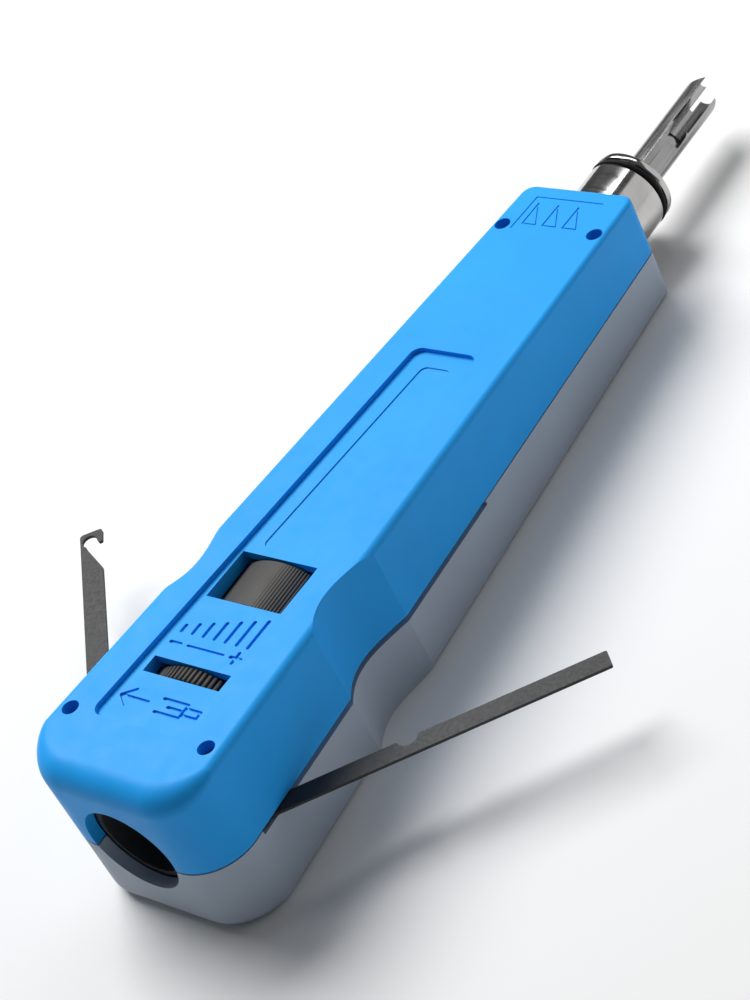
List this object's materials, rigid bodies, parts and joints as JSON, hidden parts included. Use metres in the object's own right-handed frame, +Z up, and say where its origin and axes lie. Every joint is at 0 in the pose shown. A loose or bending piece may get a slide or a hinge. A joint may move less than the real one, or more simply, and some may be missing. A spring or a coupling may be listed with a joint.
{
  "type": "punch down tool",
  "caption": "Impact punch down tool with a tapered two-shell handle, a forked blade in a chrome holder, an impact dial, a rear blade store and a folding wire hook and spudger.",
  "frame": {"origin": "on the flat underside of the grey cover, on the tool's centre line, half way along the handle", "axes": "+X towards the blade tip, +Y to the user's left, +Z up out of the flat underside; the blade axis dips 1.92 degrees towards the tip because the handle tapers"},
  "size_m": [0.1884, 0.1168, 0.0321],
  "materials": {
    "blue_plastic": "satin moulded",
    "grey_plastic": "satin moulded",
    "dial_plastic": "fine ribbed",
    "black_plastic": "matte moulded",
    "chrome": "polished",
    "blade_steel": "ground",
    "dark_steel": "blackened",
    "machined_steel": "turned",
    "spring_steel": "drawn wire",
    "rubber": "matte",
    "bronze": "sintered"
  },
  "bodies": {
    "handle": {"top_cover": "blue_plastic", "bottom_cover": "grey_plastic", "cover_screw_rear_left": "dark_steel", "cover_screw_rear_right": "dark_steel", "cover_screw_front_left": "dark_steel", "cover_screw_front_right": "dark_steel", "hook_pivot_sleeve": "machined_steel", "spudger_pivot_sleeve": "machined_steel", "storage_tube": "black_plastic", "release_wheel_spring": "spring_steel", "main_spring": "spring_steel", "front_bushing": "bronze"},
    "plunger": {"blade_holder": "chrome", "holder_oring": "rubber", "retaining_ring": "chrome", "blade_detent_ball": "machined_steel", "blade_detent_spring": "spring_steel"},
    "blade": {"punch_blade": "blade_steel"},
    "hammer": {"hammer": "machined_steel", "return_spring": "spring_steel", "latch_spring": "spring_steel"},
    "latch": {"hammer_latch": "dark_steel"},
    "impact_dial": {"impact_drum": "dial_plastic"},
    "seat": {"spring_seat": "machined_steel"},
    "store_wheel": {"release_wheel": "dial_plastic"},
    "hook": {"wire_hook": "dark_steel"},
    "spudger": {"spudger": "dark_steel"}
  },
  "joints": [
    {"name": "plunger_slide", "type": "slide", "parent": "handle", "child": "plunger", "axis": [-0.9994, 0, 0.0336], "range_m": [0, 0.009], "stiffness_N_per_m": 1500, "springref_m": -0.004},
    {"name": "hammer_slide", "type": "slide", "parent": "handle", "child": "hammer", "axis": [-0.9994, 0, 0.0336], "range_m": [0, 0.009], "deforming": ["main_spring"]},
    {"name": "latch_slide", "type": "slide", "parent": "hammer", "child": "latch", "axis": [-0.0336, 0, -0.9994], "range_m": [0, 0.0018], "stiffness_N_per_m": 150, "springref_m": -0.002, "deforming": ["latch_spring"]},
    {"name": "blade_twist", "type": "hinge", "parent": "plunger", "child": "blade", "pos_m": [0.07733, 0, 0.01148], "axis": [0.9994, 0, -0.0336], "range_deg": [0, 90]},
    {"name": "impact_dial_turn", "type": "hinge", "parent": "handle", "child": "impact_dial", "pos_m": [-0.02761, 0, 0.015], "axis": [-0.9994, 0, 0.0336], "range_deg": [0, 50]},
    {"name": "seat_slide", "type": "slide", "parent": "handle", "child": "seat", "axis": [-0.9994, 0, 0.0336], "range_m": [0, 0.003]},
    {"name": "store_wheel_turn", "type": "hinge", "parent": "handle", "child": "store_wheel", "pos_m": [-0.0476, 0, 0.01567], "axis": [-0.9994, 0, 0.0336], "range_deg": [0, 40], "stiffness_Nm_per_rad": 0.02, "springref_deg": -11.46},
    {"name": "hook_swing", "type": "hinge", "parent": "handle", "child": "hook", "pos_m": [-0.06002, 0.0148, 0.01379], "axis": [0.0336, 0, 0.9994], "range_deg": [-45.7, 47.8]},
    {"name": "spudger_swing", "type": "hinge", "parent": "handle", "child": "spudger", "pos_m": [-0.06002, -0.0148, 0.01379], "axis": [-0.0336, 0, -0.9994], "range_deg": [-43.6, 47.2]}
  ],
  "couplings": [
    {"joint": "hammer_slide", "follows": "plunger_slide", "ratio": 1},
    {"joint": "seat_slide", "follows": "impact_dial_turn", "m_per_rad": 0.0034377}
  ]
}
